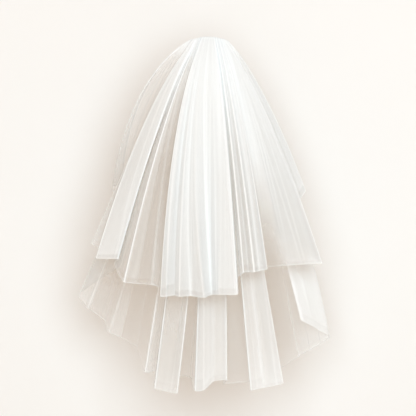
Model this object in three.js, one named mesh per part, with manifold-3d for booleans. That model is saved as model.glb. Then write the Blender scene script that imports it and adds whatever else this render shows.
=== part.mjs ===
// A bridal veil in two tiers of soft tulle, gathered onto a hair comb.
// Both tiers hang from the comb as they do when worn: a short upper tier outside and a long lower tier
// inside it. Each is one sheet of net cut with rounded corners, so its hem climbs towards the side edges.
// Millimetres, +Z up. The origin is the middle of the comb's spine. The outside of the veil faces -Y and
// the wearer's head is on the +Y side, where the veil is open.
import * as THREE from "three";
import { mergeVertices } from "three/addons/utils/BufferGeometryUtils.js";
import Module from "manifold-3d";

// Cloth
const WALL = 1.0; // thickness of the cloth wall
const SEAM_GAP = 0.3; // between pieces that are sewn together
const UPPER_GATHER_WIDTH = 68; // length of the gathered edges along the comb
const LOWER_GATHER_WIDTH = 64;
const GATHER_RIPPLE = 1.2; // how far each gather stands in or out of the seam line
const CREASE_LEG = 10; // length of cloth on each side of a fold that the bend takes up
const CREASE_SHARE = 0.45; // most of a panel's width that one bend takes up
const FAN = 0.75; // under 1, the fold lines fan out early and then fall more steeply
const FALL = 0.7; // under 1, the folds deepen early
const UPPER_SWELL = 90; // how strongly the cloth swings outward as it leaves the comb, before it falls
const LOWER_SWELL = 50;
const UPPER_RISE = 10; // how far the middle of the outer cloth stands up before it turns over
const RISE_SHARE = 0.012; // share of the drop at which it stands highest
const ROWS = 16; // sections from the gathers to the hem
const ROW_CROWDING = 2.4; // above 1, sections lie closer near the comb, where the cloth turns down

// Comb
const COMB = { width: 64, height: 7, thickness: 3, bendRadius: 150, edge: 0.6 };
const TEETH = { count: 15, length: 40, rootRadius: 1.0, tipRadius: 0.55, sides: 8, sunk: 2 };

// Gathered edges: the lower tier lies on the comb, the upper tier on the lower one.
const LOWER_GATHER_Z = -0.8;
const UPPER_GATHER_Z = 1.2;
const GATHER_HALF_DEPTH = GATHER_RIPPLE + WALL / 2;
const LOWER_SEAM_Y = -COMB.thickness / 2 - SEAM_GAP - GATHER_RIPPLE;
const UPPER_SEAM_Y = LOWER_SEAM_Y - SEAM_GAP - 2 * GATHER_HALF_DEPTH;

// Each row is one fold line, from the left side edge to the right one in the order that the cloth runs:
//   midX        where the fold line is at half its drop
//   hemX, hemY  where it meets the hem
//   drop        height from the gathers down to the hem
const foldTable = (rows) => rows.map(([midX, hemX, hemY, drop]) => ({ midX, hemX, hemY, drop }));

const UPPER_FOLDS = foldTable([
  [-159, -190, 62, 313], // left side edge
  [-171, -213, 38, 319], // outer left fold
  [-126, -174, 4, 396],
  [-158, -258, -10, 441], // left panel, two folds at its outer edge
  [-144, -230, -32, 456],
  [-166, -246, -54, 474],
  [-122, -192, -76, 474],
  [-122, -206, -22, 484],
  [-119, -183, -80, 525], // second left panel
  [-92, -122, -94, 529],
  [-76, -84, -84, 538],
  [-82, -106, -122, 553], // centre panels
  [-73, -90, -132, 553],
  [-61, -72, -106, 550],
  [-54, -64, -138, 553],
  [-42, -39, -118, 551],
  [-30, -10, -146, 555],
  [-6, 6, -110, 549],
  [24, 21, -150, 548],
  [44, 63, -142, 549],
  [42, 57, -108, 516],
  [50, 73, -132, 501], // right cluster of narrow folds
  [57, 84, -110, 501],
  [66, 96, -130, 501],
  [74, 107, -104, 499],
  [88, 127, -118, 495],
  [81, 114, -90, 491],
  [160, 247, -62, 484], // right panel
  [106, 142, -30, 425],
  [144, 213, 8, 324], // outer right fold
  [133, 193, 36, 351], // right side edge
]);

const LOWER_FOLDS = foldTable([
  [-132, -195, 96, 491], // left side edge
  [-168, -289, 72, 553], // outer left fold
  [-154, -266, 58, 583],
  [-130, -227, 48, 611],
  [-124, -219, 24, 635],
  [-112, -191, 12, 645],
  [-96, -156, 26, 666],
  [-82, -139, -16, 720],
  [-64, -109, 6, 718],
  [-72, -119, -46, 752], // left centre panel
  [-26, -65, -78, 761],
  [-34, -84, -16, 722],
  [-14, -39, -16, 729],
  [-18, -31, -66, 756], // middle panel
  [-10, -11, -84, 754],
  [9, 9, -70, 733],
  [36, 42, -70, 731],
  [26, 28, -28, 744],
  [58, 92, -26, 737],
  [54, 87, -76, 754], // right centre panel
  [72, 118, -68, 748],
  [100, 164, -58, 739],
  [80, 126, -20, 729],
  [126, 196, 46, 688],
  [187, 268, 40, 645], // outer right fold
  [122, 199, -14, 606], // right side edge, turned to the front
]);

const UPPER_TIER = {
  folds: UPPER_FOLDS,
  seamY: UPPER_SEAM_Y,
  gatherWidth: UPPER_GATHER_WIDTH,
  gatherZ: UPPER_GATHER_Z,
  swell: UPPER_SWELL,
  rise: UPPER_RISE,
};
const LOWER_TIER = {
  folds: LOWER_FOLDS,
  seamY: LOWER_SEAM_Y,
  gatherWidth: LOWER_GATHER_WIDTH,
  gatherZ: LOWER_GATHER_Z,
  swell: LOWER_SWELL,
  rise: 0,
};

const wasm = await Module();
wasm.setup();

const { lerp } = THREE.MathUtils;

// How far the comb, and the seam along it, bends back towards the head at x.
const combBend = (x) => (x * x) / (2 * COMB.bendRadius);

// The point of one fold line at a share of its drop: it swings out as it leaves the comb and then falls.
function foldPoint({ folds, seamY, gatherWidth, gatherZ, swell, rise }, index, share) {
  const { midX, hemX, hemY, drop } = folds[index];
  const across = (2 * index) / (folds.length - 1) - 1;
  const gatherX = (across * gatherWidth) / 2;
  const ripple = index % 2 ? GATHER_RIPPLE : -GATHER_RIPPLE;
  const gatherY = seamY + combBend(gatherX) - ripple;
  const fan = share ** FAN;
  const halfFan = 0.5 ** FAN;
  const bend = (midX - lerp(gatherX, hemX, halfFan)) / (halfFan * (1 - halfFan));
  const x = lerp(gatherX, hemX, fan) + bend * fan * (1 - fan);
  const y = lerp(gatherY, hemY, share ** FALL) - swell * (Math.sqrt(share) - share);
  const stand = share / RISE_SHARE;
  const dome = rise * (1 - across * across);
  const z = lerp(gatherZ + ripple, gatherZ - drop, share) + dome * stand * Math.exp(1 - stand);
  return new THREE.Vector3(x, y, z);
}

// One section across the cloth: flat panels between the fold lines, with a round bend at each of them.
function section(tier, share) {
  const line = tier.folds.map((_, index) => foldPoint(tier, index, share));
  const towards = (from, to) => {
    const leg = Math.min(CREASE_LEG / from.distanceTo(to), CREASE_SHARE);
    return from.clone().lerp(to, leg);
  };
  const points = [line[0]];
  for (let i = 1; i < line.length - 1; i++) {
    const before = towards(line[i], line[i - 1]);
    const after = towards(line[i], line[i + 1]);
    points.push(...new THREE.QuadraticBezierCurve3(before, line[i], after).getPoints(2));
  }
  points.push(line.at(-1));
  return points;
}

// The unit normal of a grid of points at one of them, from its neighbours in the grid.
function gridNormal(grid, row, column) {
  const clampRow = (r) => grid[Math.max(0, Math.min(grid.length - 1, r))];
  const clampColumn = (r, c) => r[Math.max(0, Math.min(r.length - 1, c))];
  const across = clampColumn(grid[row], column + 1).clone().sub(clampColumn(grid[row], column - 1));
  const down = clampRow(row + 1)[column].clone().sub(clampRow(row - 1)[column]);
  return down.cross(across).normalize();
}

// A closed wall of even thickness about a grid of points.
function wallGeometry(grid) {
  const rows = grid.length;
  const columns = grid[0].length;
  const position = [];
  for (const side of [1, -1]) {
    grid.forEach((line, row) =>
      line.forEach((point, column) => {
        const moved = point.clone().addScaledVector(gridNormal(grid, row, column), (side * WALL) / 2);
        position.push(moved.x, moved.y, moved.z);
      }),
    );
  }
  const outer = (row, column) => row * columns + column;
  const inner = (row, column) => rows * columns + outer(row, column);
  const index = [];
  const quad = (a, b, c, d) => index.push(a, b, c, a, c, d);
  for (let r = 0; r < rows - 1; r++) {
    for (let c = 0; c < columns - 1; c++) {
      quad(outer(r, c), outer(r + 1, c), outer(r + 1, c + 1), outer(r, c + 1));
      quad(inner(r, c), inner(r, c + 1), inner(r + 1, c + 1), inner(r + 1, c));
    }
    quad(outer(r, 0), inner(r, 0), inner(r + 1, 0), outer(r + 1, 0));
    quad(outer(r, columns - 1), outer(r + 1, columns - 1), inner(r + 1, columns - 1), inner(r, columns - 1));
  }
  for (let c = 0; c < columns - 1; c++) {
    quad(outer(0, c), outer(0, c + 1), inner(0, c + 1), inner(0, c));
    quad(outer(rows - 1, c), inner(rows - 1, c), inner(rows - 1, c + 1), outer(rows - 1, c + 1));
  }
  const geometry = new THREE.BufferGeometry();
  geometry.setAttribute("position", new THREE.Float32BufferAttribute(position, 3));
  geometry.setIndex(index);
  geometry.computeVertexNormals();
  return geometry;
}

// One tier of the veil, from its gathers to its hem.
function tierGeometry(tier) {
  const grid = [];
  for (let row = 0; row < ROWS; row++) {
    grid.push(section(tier, (row / (ROWS - 1)) ** ROW_CROWDING));
  }
  return wallGeometry(grid);
}

// A closed geometry as a solid that can be joined to others.
function solidOf(geometry) {
  const bare = geometry.clone();
  bare.deleteAttribute("normal");
  bare.deleteAttribute("uv");
  const merged = mergeVertices(bare, 1e-4);
  return new wasm.Manifold(
    new wasm.Mesh({
      numProp: 3,
      vertProperties: new Float32Array(merged.attributes.position.array),
      triVerts: new Uint32Array(merged.index.array),
    }),
  );
}

// A solid as a geometry that a mesh can show.
function geometryOf(solid) {
  const mesh = solid.getMesh();
  const geometry = new THREE.BufferGeometry();
  geometry.setAttribute("position", new THREE.BufferAttribute(mesh.vertProperties, 3));
  geometry.setIndex(new THREE.BufferAttribute(mesh.triVerts, 1));
  geometry.computeVertexNormals();
  return geometry;
}

// The comb's spine, a bar bent to the head, and its row of tapered teeth in one moulding.
function combGeometry() {
  const bendSteps = 12;
  const edgeAt = (y) =>
    Array.from({ length: bendSteps + 1 }, (_, i) => {
      const x = (COMB.width - 2 * COMB.edge) * (i / bendSteps - 0.5);
      return new THREE.Vector2(x, y + combBend(x));
    });
  const halfThickness = COMB.thickness / 2 - COMB.edge;
  const outline = new THREE.Shape([...edgeAt(-halfThickness), ...edgeAt(halfThickness).reverse()]);
  const spine = new THREE.ExtrudeGeometry(outline, {
    depth: COMB.height - 2 * COMB.edge,
    bevelEnabled: true,
    bevelThickness: COMB.edge,
    bevelSize: COMB.edge,
    bevelSegments: 1,
  });
  spine.translate(0, 0, COMB.edge - COMB.height / 2);
  let comb = solidOf(spine);
  const firstTooth = COMB.width / 2 - 2.5 * TEETH.rootRadius;
  const toothLength = TEETH.length + TEETH.sunk;
  for (let i = 0; i < TEETH.count; i++) {
    const x = lerp(-firstTooth, firstTooth, i / (TEETH.count - 1));
    const tooth = new THREE.CylinderGeometry(TEETH.rootRadius, TEETH.tipRadius, toothLength, TEETH.sides);
    tooth.rotateX(Math.PI / 2);
    tooth.translate(x, combBend(x), TEETH.sunk - COMB.height / 2 - toothLength / 2);
    comb = comb.add(solidOf(tooth));
  }
  return geometryOf(comb);
}

const tulle = new THREE.MeshStandardMaterial({
  color: 0xf6f4ef,
  roughness: 0.85,
  metalness: 0,
  transparent: true,
  opacity: 0.45,
  side: THREE.DoubleSide,
});
const clearPlastic = new THREE.MeshStandardMaterial({ color: 0xf2f0ea, roughness: 0.25, metalness: 0 });

function piece(name, geometry, material) {
  const mesh = new THREE.Mesh(geometry, material);
  mesh.name = name;
  return mesh;
}

const veil = new THREE.Group();
veil.add(piece("comb", combGeometry(), clearPlastic));
veil.add(piece("lower_tier", tierGeometry(LOWER_TIER), tulle));
veil.add(piece("upper_tier", tierGeometry(UPPER_TIER), tulle));

export default veil;
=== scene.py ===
import bpy
import math
import numpy as np
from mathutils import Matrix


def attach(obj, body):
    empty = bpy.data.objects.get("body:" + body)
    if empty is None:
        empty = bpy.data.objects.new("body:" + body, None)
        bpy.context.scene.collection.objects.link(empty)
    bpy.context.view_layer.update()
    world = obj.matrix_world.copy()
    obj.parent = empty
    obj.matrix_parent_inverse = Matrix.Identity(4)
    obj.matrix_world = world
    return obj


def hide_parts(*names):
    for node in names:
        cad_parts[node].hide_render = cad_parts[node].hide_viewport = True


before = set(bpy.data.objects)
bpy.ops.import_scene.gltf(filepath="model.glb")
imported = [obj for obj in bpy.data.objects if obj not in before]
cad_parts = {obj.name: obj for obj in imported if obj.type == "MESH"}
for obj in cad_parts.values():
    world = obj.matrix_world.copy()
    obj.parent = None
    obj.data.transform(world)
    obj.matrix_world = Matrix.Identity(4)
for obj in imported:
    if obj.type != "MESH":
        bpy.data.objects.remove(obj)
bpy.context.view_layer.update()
scene = bpy.context.scene


# Comb
# A moulded hair comb of milky clear plastic that carries the whole veil. Its bent spine is covered by
# the gathers and its tapered teeth slide down into the hair.
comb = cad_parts["comb"]
comb_plastic = bpy.data.materials.new("comb_plastic")
comb_plastic.use_nodes = True
nodes, links = comb_plastic.node_tree.nodes, comb_plastic.node_tree.links
shader = nodes["Principled BSDF"]
flow = nodes.new("ShaderNodeTexNoise")
flow.inputs["Scale"].default_value = 90.0
flow.inputs["Detail"].default_value = 3.0
place = nodes.new("ShaderNodeTexCoord")
links.new(place.outputs["Object"], flow.inputs["Vector"])
cloud = nodes.new("ShaderNodeValToRGB")
cloud.color_ramp.elements[0].color = (0.80, 0.80, 0.78, 1)
cloud.color_ramp.elements[1].color = (0.92, 0.92, 0.90, 1)
links.new(flow.outputs["Fac"], cloud.inputs["Fac"])
links.new(cloud.outputs["Color"], shader.inputs["Base Color"])
gloss = nodes.new("ShaderNodeMapRange")
gloss.inputs["To Min"].default_value = 0.18
gloss.inputs["To Max"].default_value = 0.34
links.new(flow.outputs["Fac"], gloss.inputs["Value"])
links.new(gloss.outputs["Result"], shader.inputs["Roughness"])
shader.inputs["Subsurface Weight"].default_value = 0.2
shader.inputs["Subsurface Radius"].default_value = (0.004, 0.004, 0.004)
comb.data.materials.clear()
comb.data.materials.append(comb_plastic)
for face in comb.data.polygons:
    face.material_index = 0


# Lower tier
# The long tier, one sheet of soft white tulle cut with rounded corners. Its straight edge is gathered
# onto the front of the comb and sewn there, and the rest hangs in loose folds with a raw hem.
COMB_BEND_RADIUS = 0.150
CREASE_LEG = 0.010
CREASE_SHARE = 0.45
GATHER_RIPPLE = 0.0012
FAN = 0.75
FALL = 0.7
RISE_SHARE = 0.012
GATHER_FILL = 0.92
FILL_SHARES = (0, 0.12, 0.5, 1)
MOST_CREASE_FILL = 0.9
CREASE_WIDTH = 0.0030
HEM_EDGE_WIDTH = 0.0022
HEM_BAND = (0.004, 0.024)
HEM_BAND_FADE = 0.004
PARTED_FADE = 0.1
# The length and the height of each of the two waves of wrinkles, and how near to a fold they die away.
WRINKLES = ((0.074, 0.0016), (0.043, 0.0007))
WRINKLE_CLEARANCE = 0.012
BODY_ROWS = 100
HEM_ROWS = 16
HEM_START = 0.945
BEND_STEPS = 6
FLAT_STEPS = 6
# How far shading follows the whole veil, and how that turns to the sides, to the front and up.
SOFTNESS = 0.85
SIDE_TURN = 1.8
FRONT_TURN = -1.0
UP_TURN = 0.15
# The layers of real net that a shadow falls through for each one that is modelled.
SHADE_LAYERS = 3.6
TULLE_WHITE = (0.885, 0.892, 0.868, 1)
# Painted highlight: the lighter white that the tulle's colour turns to along its fold lines and hem edge.
CREASE_HIGHLIGHT_WHITE = (0.98, 0.98, 0.96, 1)
NET_CELLS = 620.0
LOWER = {
    "seam_y": -0.0030,
    "gather_width": 0.064,
    "gather_z": -0.0008,
    "swell": 0.050,
    "rise": 0.0,
    "seed": 3,
    "hem_edge": 0.15,
    "hem_thin": 0.12,
    "parted": [],
}
# A row for each fold line from the left edge to the right one: midX, hemX, hemY and drop in millimetres;
# the share that threads fill of the panel to its right, below the gathers, half way and at the hem; how
# sharply the fold is creased.
LOWER_FOLDS = [
    (-132, -195, 96, 491, 0.10, 0.15, 0.40, 0.50),
    (-168, -289, 72, 553, 0.10, 0.12, 0.30, 0.95),
    (-154, -266, 58, 583, 0.10, 0.10, 0.26, 0.40),
    (-130, -227, 48, 611, 0.10, 0.10, 0.28, 0.10),
    (-124, -219, 24, 635, 0.10, 0.10, 0.30, 0.25),
    (-112, -191, 12, 645, 0.10, 0.04, 0.05, 0.10),
    (-96, -156, 26, 666, 0.10, 0.03, 0.03, 0.10),
    (-82, -139, -16, 720, 0.10, 0.10, 0.26, 0.70),
    (-64, -109, 6, 718, 0.10, 0.10, 0.25, 0.10),
    (-72, -119, -46, 752, 0.20, 0.20, 0.40, 0.90),
    (-26, -65, -78, 761, 0.20, 0.15, 0.18, 0.95),
    (-34, -84, -16, 722, 0.20, 0.15, 0.15, 0.10),
    (-14, -39, -16, 729, 0.20, 0.15, 0.18, 0.10),
    (-18, -31, -66, 756, 0.30, 0.38, 0.60, 0.80),
    (-10, -11, -84, 754, 0.30, 0.40, 0.64, 0.15),
    (9, 9, -70, 733, 0.30, 0.40, 0.56, 0.15),
    (36, 42, -70, 731, 0.20, 0.20, 0.20, 0.80),
    (26, 28, -28, 744, 0.20, 0.15, 0.15, 0.10),
    (58, 92, -26, 737, 0.20, 0.15, 0.18, 0.10),
    (54, 87, -76, 754, 0.30, 0.38, 0.52, 0.90),
    (72, 118, -68, 748, 0.30, 0.40, 0.56, 0.20),
    (100, 164, -58, 739, 0.20, 0.20, 0.18, 0.95),
    (80, 126, -20, 729, 0.20, 0.12, 0.12, 0.10),
    (126, 196, 46, 688, 0.20, 0.10, 0.20, 0.10),
    (187, 268, 40, 645, 0.60, 0.68, 0.74, 0.95),
    (122, 199, -14, 606, 0.00, 0.00, 0.00, 0.90),
]


def fold_points(folds, tier, share):
    """The points of every fold line at one share of its drop, in metres."""
    table = np.array(folds, float)
    mid_x, hem_x, hem_y, drop = table[:, :4].T * 0.001
    order = np.arange(len(table))
    across = 2 * order / (len(table) - 1) - 1
    gather_x = across * tier["gather_width"] / 2
    ripple = np.where(order % 2 == 1, GATHER_RIPPLE, -GATHER_RIPPLE)
    gather_y = tier["seam_y"] + gather_x**2 / (2 * COMB_BEND_RADIUS) - ripple
    fan, half = share**FAN, 0.5**FAN
    bend = (mid_x - gather_x - (hem_x - gather_x) * half) / (half * (1 - half))
    x = gather_x + (hem_x - gather_x) * fan + bend * fan * (1 - fan)
    y = gather_y + (hem_y - gather_y) * share**FALL - tier["swell"] * (math.sqrt(share) - share)
    stand = share / RISE_SHARE
    dome = tier["rise"] * (1 - across**2) * stand * math.exp(1 - stand)
    z = tier["gather_z"] + ripple * (1 - share) - drop * share + dome
    return np.stack([x, y, z], axis=1)


def section_across(points):
    """One section of the cloth: points, the panel that each lies in, and its distance from a fold."""
    out, panel, far = [points[0]], [0.0], [0.0]
    for i in range(len(points) - 1):
        start, end = points[i], points[i + 1]
        span = np.linalg.norm(end - start)
        leg = min(CREASE_LEG / max(span, 1e-6), CREASE_SHARE)
        left = leg if i > 0 else 0.0
        right = 1 - leg if i < len(points) - 2 else 1.0
        for k in range(1 if i == 0 else 0, FLAT_STEPS + 1):
            t = left + (right - left) * k / FLAT_STEPS
            out.append(start + (end - start) * t)
            panel.append(i + t)
            far.append(span * min(t, 1 - t))
        if i < len(points) - 2:
            after = points[i + 2]
            span_after = np.linalg.norm(after - end)
            leg_after = min(CREASE_LEG / max(span_after, 1e-6), CREASE_SHARE)
            a, b = end + (start - end) * leg, end + (after - end) * leg_after
            for k in range(1, BEND_STEPS):
                t = k / BEND_STEPS
                out.append((1 - t) ** 2 * a + 2 * t * (1 - t) * end + t**2 * b)
                panel.append(i + 1 - leg * (1 - 2 * t) if t < 0.5 else i + 1 + (2 * t - 1) * leg_after)
                far.append(abs(2 * t - 1) * (leg * span if t < 0.5 else leg_after * span_after))
    return np.array(out), np.array(panel), np.array(far)


def grid_normals(grid):
    """Unit normals of a grid of points, from its neighbours in the grid."""
    normals = np.cross(np.gradient(grid, axis=0), np.gradient(grid, axis=1))
    return normals / np.maximum(np.linalg.norm(normals, axis=2, keepdims=True), 1e-12)


def hang_tier(name, folds, tier):
    """A tier as one thin sheet with soft wrinkles; on each point how much the net fills, and how strong the
    painted highlight on its folds and hem is.
    """
    body_shares = HEM_START * np.linspace(0, 1, BODY_ROWS) ** 2
    shares = np.concatenate([body_shares, np.linspace(HEM_START, 1, HEM_ROWS)[1:]])
    rows = len(shares) - 1
    sections = [section_across(fold_points(folds, tier, share)) for share in shares]
    grid = np.array([section[0] for section in sections])
    far = np.array([section[2] for section in sections])
    places = np.array([section[1] for section in sections])
    panels = places[0]
    columns = grid.shape[1]
    steps_down = np.linalg.norm(np.diff(grid, axis=0), axis=2)
    down = np.vstack([np.zeros((1, columns)), np.cumsum(steps_down, axis=0)])
    widths = np.linalg.norm(np.diff(grid, axis=1), axis=2)
    across = np.concatenate([[0], np.cumsum(widths[-1])])

    # Long soft wrinkles that run down the cloth and close up towards the gathers.
    dice = np.random.default_rng(tier["seed"])
    closing = np.clip(widths.sum(axis=1) / widths[-1].sum(), 0, 1)[:, None]
    wrinkle = np.zeros_like(down)
    for wave, height in WRINKLES:
        drift = dice.uniform(-0.12, 0.12)
        phase = dice.uniform(0, 6.28)
        sway = 0.5 * np.sin(down * dice.uniform(6, 14) + dice.uniform(0, 6.28))
        wrinkle += height * np.sin(6.283 * (across[None, :] + drift * down) / wave + phase + sway)
    calm = np.clip(far / WRINKLE_CLEARANCE, 0, 1)
    grid = grid + grid_normals(grid) * (wrinkle * closing * calm)[:, :, None]

    which = np.clip(np.floor(panels).astype(int), 0, len(folds) - 2)
    table = np.array(folds, float)
    fills = [np.interp(shares, FILL_SHARES, [GATHER_FILL, *row[4:7]]) for row in table]
    fill = np.stack(fills, axis=1)[:, which]
    for panel, part, *own_fill in tier["parted"]:
        inside = np.clip((panel + part - places) / PARTED_FADE + 0.5, 0, 1) * (which == panel)
        left_fill = np.interp(shares, FILL_SHARES, [GATHER_FILL, *own_fill])[:, None]
        fill = fill + (left_fill - fill) * inside
    to_hem = down[-1][None, :] - down
    # The layers of one fold end at different heights, so the last finger's breadth is thinner.
    band = dice.uniform(*HEM_BAND, len(folds))[which][None, :]
    in_band = np.clip((band + HEM_BAND_FADE - to_hem) / HEM_BAND_FADE, 0, 1)
    fill = fill * (1 - tier["hem_thin"] * in_band)
    nearest = np.clip(np.round(panels).astype(int), 0, len(folds) - 1)
    crease = table[nearest, 7][None, :] * np.exp(-((far / CREASE_WIDTH) ** 2))
    edge = np.exp(-((to_hem / HEM_EDGE_WIDTH) ** 2))
    fill = fill + (1 - fill) * np.clip(crease + tier["hem_edge"] * edge, 0, MOST_CREASE_FILL)

    mesh = bpy.data.meshes.new(name)
    faces = []
    for r in range(rows):
        for c in range(columns - 1):
            here, below = r * columns + c, (r + 1) * columns + c
            faces.append((here, below, below + 1, here + 1))
    mesh.from_pydata([tuple(p) for p in grid.reshape(-1, 3)], [], faces)
    flat = np.stack([np.broadcast_to(across, down.shape), down], axis=2).reshape(-1, 2)
    layer = mesh.uv_layers.new(name="flat_cloth")
    corner = np.zeros(len(mesh.loops), np.int32)
    mesh.loops.foreach_get("vertex_index", corner)
    layer.data.foreach_set("uv", flat[corner].ravel())
    mesh.attributes.new("tulle_fill", "FLOAT", "POINT").data.foreach_set("value", fill.ravel())
    # Painted highlight: how far the colour is whitened along the creases and the hem edge, as bright lines
    # of light.
    painted_highlight = np.clip(crease + tier["hem_edge"] * edge, 0, 1)
    mesh.attributes.new("tulle_painted_highlight", "FLOAT", "POINT").data.foreach_set("value", painted_highlight.ravel())
    mesh.polygons.foreach_set("use_smooth", [True] * len(mesh.polygons))
    mesh.update()

    # Light passes through net from panel to panel, so each fold is shaded much like the whole veil.
    own = grid_normals(grid).reshape(-1, 3)
    points = grid.reshape(-1, 3)
    front, up = np.full(len(points), FRONT_TURN), np.full(len(points), UP_TURN)
    whole = np.stack([points[:, 0] * SIDE_TURN, front, up], axis=1)
    whole /= np.linalg.norm(whole, axis=1, keepdims=True)
    side = np.where((own * whole).sum(axis=1, keepdims=True) < 0, -1.0, 1.0)
    soft = (1 - SOFTNESS) * own + SOFTNESS * side * whole
    soft /= np.linalg.norm(soft, axis=1, keepdims=True)
    mesh.normals_split_custom_set_from_vertices([tuple(n) for n in soft])
    sheet = bpy.data.objects.new(name, mesh)
    scene.collection.objects.link(sheet)
    return sheet


def tulle_net():
    """The net of the tulle, as a group that both tiers use: where a thread is, and streaks of closer net."""
    group = bpy.data.node_groups.new("tulle_net", "ShaderNodeTree")
    group.interface.new_socket("Density", in_out="INPUT", socket_type="NodeSocketFloat")
    group.interface.new_socket("Cell", in_out="INPUT", socket_type="NodeSocketFloat")
    group.interface.new_socket("Alpha", in_out="OUTPUT", socket_type="NodeSocketFloat")
    given = group.nodes.new("NodeGroupInput")
    put = group.nodes.new("NodeGroupOutput")
    uv = group.nodes.new("ShaderNodeUVMap")
    uv.uv_map = "flat_cloth"
    cells = group.nodes.new("ShaderNodeTexVoronoi")
    cells.voronoi_dimensions = "2D"
    cells.feature = "DISTANCE_TO_EDGE"
    cells.inputs["Randomness"].default_value = 0.35
    group.links.new(uv.outputs["UV"], cells.inputs["Vector"])
    group.links.new(given.outputs["Cell"], cells.inputs["Scale"])
    thread = group.nodes.new("ShaderNodeMapRange")
    thread.inputs["From Min"].default_value = 0.06
    thread.inputs["From Max"].default_value = 0.16
    thread.inputs["To Min"].default_value = 1.25
    thread.inputs["To Max"].default_value = 0.82
    group.links.new(cells.outputs["Distance"], thread.inputs["Value"])
    stretch = group.nodes.new("ShaderNodeMapping")
    stretch.inputs["Scale"].default_value = (1.0, 0.025, 1.0)
    group.links.new(uv.outputs["UV"], stretch.inputs["Vector"])
    slow = group.nodes.new("ShaderNodeTexNoise")
    slow.noise_dimensions = "2D"
    slow.inputs["Scale"].default_value = 70.0
    slow.inputs["Detail"].default_value = 3.0
    group.links.new(stretch.outputs["Vector"], slow.inputs["Vector"])
    uneven = group.nodes.new("ShaderNodeMapRange")
    uneven.inputs["From Min"].default_value = 0.25
    uneven.inputs["From Max"].default_value = 0.75
    uneven.inputs["To Min"].default_value = 0.95
    uneven.inputs["To Max"].default_value = 1.05
    group.links.new(slow.outputs["Fac"], uneven.inputs["Value"])
    both = group.nodes.new("ShaderNodeMath")
    both.operation = "MULTIPLY"
    group.links.new(thread.outputs["Result"], both.inputs[0])
    group.links.new(uneven.outputs["Result"], both.inputs[1])
    stray = group.nodes.new("ShaderNodeTexNoise")
    stray.noise_dimensions = "2D"
    stray.inputs["Scale"].default_value = 20.0
    stray.inputs["Detail"].default_value = 1.0
    group.links.new(stretch.outputs["Vector"], stray.inputs["Vector"])
    middle = group.nodes.new("ShaderNodeMath")
    middle.operation = "SUBTRACT"
    middle.inputs[1].default_value = 0.5
    group.links.new(stray.outputs["Fac"], middle.inputs[0])
    away = group.nodes.new("ShaderNodeMath")
    away.operation = "ABSOLUTE"
    group.links.new(middle.outputs[0], away.inputs[0])
    line = group.nodes.new("ShaderNodeMapRange")
    line.inputs["From Max"].default_value = 0.035
    line.inputs["To Min"].default_value = 0.16
    line.inputs["To Max"].default_value = 0.0
    group.links.new(away.outputs[0], line.inputs["Value"])
    creased = group.nodes.new("ShaderNodeMath")
    creased.operation = "MULTIPLY_ADD"
    group.links.new(given.outputs["Density"], creased.inputs[0])
    group.links.new(line.outputs["Result"], creased.inputs[1])
    group.links.new(given.outputs["Density"], creased.inputs[2])
    alpha = group.nodes.new("ShaderNodeMath")
    alpha.operation = "MULTIPLY"
    alpha.use_clamp = True
    group.links.new(both.outputs[0], alpha.inputs[0])
    group.links.new(creased.outputs[0], alpha.inputs[1])
    group.links.new(alpha.outputs[0], put.inputs["Alpha"])
    return group


def tulle(name, net):
    """White tulle: soft matt threads with a faint sheen and a painted highlight along its folds and hem, and
    clear air between them.
    """
    material = bpy.data.materials.new(name)
    material.use_nodes = True
    nodes, links = material.node_tree.nodes, material.node_tree.links
    shader = nodes["Principled BSDF"]
    # Painted highlight: the tulle's colour turns to a lighter white along its creases and hem edge.
    painted_highlight = nodes.new("ShaderNodeAttribute")
    painted_highlight.attribute_name = "tulle_painted_highlight"
    highlight_mix = nodes.new("ShaderNodeMix")
    highlight_mix.data_type = "RGBA"
    # A colour mix has its two colours at sockets 6 and 7, and its result at 2.
    highlight_mix.inputs[6].default_value = TULLE_WHITE
    highlight_mix.inputs[7].default_value = CREASE_HIGHLIGHT_WHITE
    links.new(painted_highlight.outputs["Fac"], highlight_mix.inputs[0])
    links.new(highlight_mix.outputs[2], shader.inputs["Base Color"])
    shader.inputs["Roughness"].default_value = 0.8
    shader.inputs["Specular IOR Level"].default_value = 0.2
    shader.inputs["Sheen Weight"].default_value = 0.15
    shader.inputs["Sheen Roughness"].default_value = 0.4
    held = nodes.new("ShaderNodeAttribute")
    held.attribute_name = "tulle_fill"
    woven = nodes.new("ShaderNodeGroup")
    woven.node_tree = net
    woven.inputs["Cell"].default_value = NET_CELLS
    links.new(held.outputs["Fac"], woven.inputs["Density"])
    ray = nodes.new("ShaderNodeLightPath")
    layers = nodes.new("ShaderNodeMath")
    layers.operation = "MULTIPLY_ADD"
    layers.inputs[1].default_value = SHADE_LAYERS - 1
    layers.inputs[2].default_value = 1.0
    links.new(ray.outputs["Is Shadow Ray"], layers.inputs[0])
    clear = nodes.new("ShaderNodeMath")
    clear.operation = "SUBTRACT"
    clear.inputs[0].default_value = 1.0
    links.new(woven.outputs["Alpha"], clear.inputs[1])
    through = nodes.new("ShaderNodeMath")
    through.operation = "POWER"
    links.new(clear.outputs[0], through.inputs[0])
    links.new(layers.outputs[0], through.inputs[1])
    stopped = nodes.new("ShaderNodeMath")
    stopped.operation = "SUBTRACT"
    stopped.inputs[0].default_value = 1.0
    links.new(through.outputs[0], stopped.inputs[1])
    links.new(stopped.outputs[0], shader.inputs["Alpha"])
    return material


net = tulle_net()
lower = hang_tier("lower_tulle", LOWER_FOLDS, LOWER)
lower.data.materials.append(tulle("lower_tulle_white", net))
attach(lower, "root")
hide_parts("lower_tier")


# Upper tier
# The short tier, a second sheet of the same tulle sewn over the gathers of the first, so that it falls
# outside it. Its gathers stand up a little above the comb before they turn over.
UPPER = {
    "seam_y": -0.0067,
    "gather_width": 0.068,
    "gather_z": 0.0012,
    "swell": 0.090,
    "rise": 0.010,
    "seed": 8,
    "hem_edge": 0.3,
    "hem_thin": 0.2,
}
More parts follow.
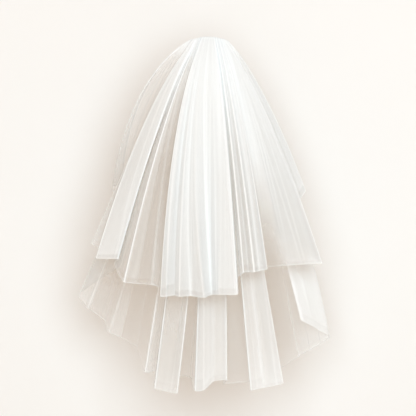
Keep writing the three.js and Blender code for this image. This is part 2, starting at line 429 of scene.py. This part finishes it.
# Panels whose left part is filled otherwise than the rest: panel, width of that part, and its shares below
# the gathers, half way and at the hem.
UPPER["parted"] = [(8, 0.5, 0.68, 0.44, 0.34), (26, 0.36, 0.88, 0.80, 0.05)]
# The columns are those of the lower tier's table.
UPPER_FOLDS = [
    (-159, -190, 62, 313, 0.22, 0.22, 0.26, 0.50),
    (-171, -213, 38, 319, 0.20, 0.26, 0.32, 0.90),
    (-126, -174, 4, 396, 0.12, 0.14, 0.18, 0.10),
    (-158, -258, -10, 441, 0.50, 0.42, 0.38, 0.90),
    (-144, -230, -32, 456, 0.40, 0.36, 0.34, 0.30),
    (-166, -246, -54, 474, 0.66, 0.62, 0.70, 0.95),
    (-122, -192, -76, 474, 0.55, 0.45, 0.35, 0.95),
    (-122, -206, -22, 484, 0.50, 0.40, 0.25, 0.20),
    (-119, -183, -80, 525, 0.46, 0.26, 0.24, 0.95),
    (-92, -122, -94, 529, 0.40, 0.22, 0.34, 0.10),
    (-76, -84, -84, 538, 0.40, 0.30, 0.40, 0.10),
    (-82, -106, -122, 553, 0.86, 0.70, 0.56, 0.95),
    (-73, -90, -132, 553, 0.88, 0.74, 0.60, 0.15),
    (-61, -72, -106, 550, 0.88, 0.72, 0.55, 0.20),
    (-54, -64, -138, 553, 0.90, 0.78, 0.60, 0.15),
    (-42, -39, -118, 551, 0.90, 0.76, 0.56, 0.30),
    (-30, -10, -146, 555, 0.90, 0.78, 0.62, 0.15),
    (-6, 6, -110, 549, 0.90, 0.78, 0.66, 0.20),
    (24, 21, -150, 548, 0.90, 0.76, 0.66, 0.15),
    (44, 63, -142, 549, 0.80, 0.40, 0.34, 0.90),
    (42, 57, -108, 516, 0.75, 0.35, 0.30, 0.20),
    (50, 73, -132, 501, 0.80, 0.55, 0.40, 0.80),
    (57, 84, -110, 501, 0.75, 0.42, 0.35, 0.20),
    (66, 96, -130, 501, 0.80, 0.60, 0.45, 0.80),
    (74, 107, -104, 499, 0.80, 0.60, 0.45, 0.20),
    (88, 127, -118, 495, 0.75, 0.55, 0.40, 0.90),
    (81, 114, -90, 491, 0.88, 0.72, 0.52, 0.20),
    (160, 247, -62, 484, 0.75, 0.75, 0.70, 0.95),
    (106, 142, -30, 425, 0.60, 0.65, 0.70, 0.10),
    (144, 213, 8, 324, 0.50, 0.45, 0.45, 0.90),
    (133, 193, 36, 351, 0.00, 0.00, 0.00, 0.60),
]
upper = hang_tier("upper_tulle", UPPER_FOLDS, UPPER)
upper.data.materials.append(tulle("upper_tulle_white", net))
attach(upper, "root")
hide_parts("upper_tier")


# Sewing thread
# White cotton thread that whips both gathered edges to the comb, with one turn round the spine in each
# gap between the teeth.
THREAD_RADIUS = 0.00025
TEETH_SPAN = 0.059
TOOTH_GAPS = 14
TOOTH_SPACING = TEETH_SPAN / TOOTH_GAPS
WRAP_MIDDLE_Y = -0.0033
WRAP_DEPTH = 0.0052
WRAP_HEIGHT = 0.0039
WRAP_SQUARENESS = 0.5
TURN_STEPS = 28
THREAD_SIDES = 6
turns = np.arange(TOOTH_GAPS * TURN_STEPS + 1) / TURN_STEPS
up, back = np.cos(2 * np.pi * turns), np.sin(2 * np.pi * turns)
thread_x = (turns - TOOTH_GAPS / 2) * TOOTH_SPACING
wrap_y = WRAP_DEPTH * np.sign(back) * np.abs(back) ** WRAP_SQUARENESS
thread_y = WRAP_MIDDLE_Y + thread_x**2 / (2 * COMB_BEND_RADIUS) + wrap_y
thread_z = WRAP_HEIGHT * np.sign(up) * np.abs(up) ** WRAP_SQUARENESS
run = np.stack([thread_x, thread_y, thread_z], axis=1)
ahead = np.gradient(run, axis=0)
ahead /= np.linalg.norm(ahead, axis=1, keepdims=True)
out_x = np.cross(ahead, np.cross((1.0, 0.0, 0.0), ahead))
out_x /= np.linalg.norm(out_x, axis=1, keepdims=True)
out_side = np.cross(ahead, out_x)
ring = np.arange(THREAD_SIDES) * 2 * np.pi / THREAD_SIDES
around = np.cos(ring)[None, :, None] * out_x[:, None, :]
around = around + np.sin(ring)[None, :, None] * out_side[:, None, :]
thread_points = (run[:, None, :] + THREAD_RADIUS * around).reshape(-1, 3)
thread_faces = []
for r in range(len(run) - 1):
    for s in range(THREAD_SIDES):
        n = (s + 1) % THREAD_SIDES
        here, there = r * THREAD_SIDES, (r + 1) * THREAD_SIDES
        thread_faces.append((here + s, here + n, there + n, there + s))
thread_faces.append(tuple(reversed(range(THREAD_SIDES))))
thread_faces.append(tuple(range((len(run) - 1) * THREAD_SIDES, len(run) * THREAD_SIDES)))
thread_mesh = bpy.data.meshes.new("sewing_thread")
thread_mesh.from_pydata([tuple(p) for p in thread_points], [], thread_faces)
thread_mesh.polygons.foreach_set("use_smooth", [True] * len(thread_mesh.polygons))
thread_mesh.update()
thread = bpy.data.objects.new("sewing_thread", thread_mesh)
scene.collection.objects.link(thread)
cotton = bpy.data.materials.new("white_cotton")
cotton.use_nodes = True
nodes, links = cotton.node_tree.nodes, cotton.node_tree.links
shader = nodes["Principled BSDF"]
shader.inputs["Roughness"].default_value = 0.75
shader.inputs["Sheen Weight"].default_value = 0.2
place = nodes.new("ShaderNodeTexCoord")
plies = nodes.new("ShaderNodeTexWave")
plies.inputs["Scale"].default_value = 700.0
plies.inputs["Distortion"].default_value = 1.5
links.new(place.outputs["Object"], plies.inputs["Vector"])
shades = nodes.new("ShaderNodeValToRGB")
shades.color_ramp.elements[0].color = (0.72, 0.72, 0.70, 1)
shades.color_ramp.elements[1].color = (0.88, 0.88, 0.86, 1)
links.new(plies.outputs["Fac"], shades.inputs["Fac"])
links.new(shades.outputs["Color"], shader.inputs["Base Color"])
thread_mesh.materials.append(cotton)
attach(thread, "root")


# Wall and floor
# A plain cream wall close behind the veil, which takes its soft shadow, and a pale floor below the view.
WALL_Y = 0.25
WALL_TOP = 3
FLOOR_Z = -1.1
FLOOR_FRONT = -6
STAGE_SIDE = 4


def plain_board(name, corners, color):
    """A matt painted board that shows from its front only."""
    mesh = bpy.data.meshes.new(name)
    mesh.from_pydata(corners, [], [(0, 1, 2, 3)])
    board = bpy.data.objects.new(name, mesh)
    scene.collection.objects.link(board)
    paint = bpy.data.materials.new(name + "_paint")
    paint.use_nodes = True
    nodes, links = paint.node_tree.nodes, paint.node_tree.links
    shader = nodes["Principled BSDF"]
    shader.inputs["Base Color"].default_value = color
    shader.inputs["Roughness"].default_value = 0.95
    shader.inputs["Specular IOR Level"].default_value = 0.0
    behind = nodes.new("ShaderNodeNewGeometry")
    clear = nodes.new("ShaderNodeBsdfTransparent")
    choose = nodes.new("ShaderNodeMixShader")
    links.new(behind.outputs["Backfacing"], choose.inputs["Fac"])
    links.new(shader.outputs["BSDF"], choose.inputs[1])
    links.new(clear.outputs["BSDF"], choose.inputs[2])
    links.new(choose.outputs["Shader"], nodes["Material Output"].inputs["Surface"])
    mesh.materials.append(paint)
    return board


plain_board(
    "wall",
    [
        (-STAGE_SIDE, WALL_Y, FLOOR_Z),
        (STAGE_SIDE, WALL_Y, FLOOR_Z),
        (STAGE_SIDE, WALL_Y, WALL_TOP),
        (-STAGE_SIDE, WALL_Y, WALL_TOP),
    ],
    (0.90, 0.88, 0.84, 1),
)
plain_board(
    "floor",
    [
        (-STAGE_SIDE, FLOOR_FRONT, FLOOR_Z),
        (STAGE_SIDE, FLOOR_FRONT, FLOOR_Z),
        (STAGE_SIDE, WALL_Y, FLOOR_Z),
        (-STAGE_SIDE, WALL_Y, FLOOR_Z),
    ],
    (0.88, 0.86, 0.83, 1),
)


# Light and camera
# A large soft lamp in front, a little above and to the right, over warm light from all around.
world = bpy.data.worlds.new("warm_room")
scene.world = world
world.use_nodes = True
world.node_tree.nodes["Background"].inputs["Color"].default_value = (1.0, 0.63, 0.36, 1)
world.node_tree.nodes["Background"].inputs["Strength"].default_value = 0.47

lamp = bpy.data.lights.new("soft_lamp", "AREA")
lamp.shape = "DISK"
lamp.size = 3.4
lamp.energy = 161
lamp.color = (0.69, 0.85, 0.98)
lamp_stand = bpy.data.objects.new("soft_lamp", lamp)
scene.collection.objects.link(lamp_stand)
lamp_stand.location = (0.35, -4.0, 0.45)
aim = bpy.data.objects.new("lamp_aim", None)
scene.collection.objects.link(aim)
aim.location = (0, 0, -0.37)
look = lamp_stand.constraints.new("TRACK_TO")
look.target = aim
look.track_axis = "TRACK_NEGATIVE_Z"
look.up_axis = "UP_Y"

FRAME_WIDTH = 0.8915
CAMERA_DISTANCE = 5.0
CAMERA_PLANE_Y = -0.06
SENSOR_WIDTH = 36
camera = bpy.data.cameras.new("camera")
camera.sensor_width = SENSOR_WIDTH
camera.lens = SENSOR_WIDTH * CAMERA_DISTANCE / FRAME_WIDTH
camera_stand = bpy.data.objects.new("camera", camera)
scene.collection.objects.link(camera_stand)
camera_stand.location = (-0.002, CAMERA_PLANE_Y - CAMERA_DISTANCE, -0.364)
camera_stand.rotation_euler = (math.radians(90), 0, 0)
scene.camera = camera_stand
scene.view_settings.view_transform = "Standard"
scene.cycles.transparent_max_bounces = 24
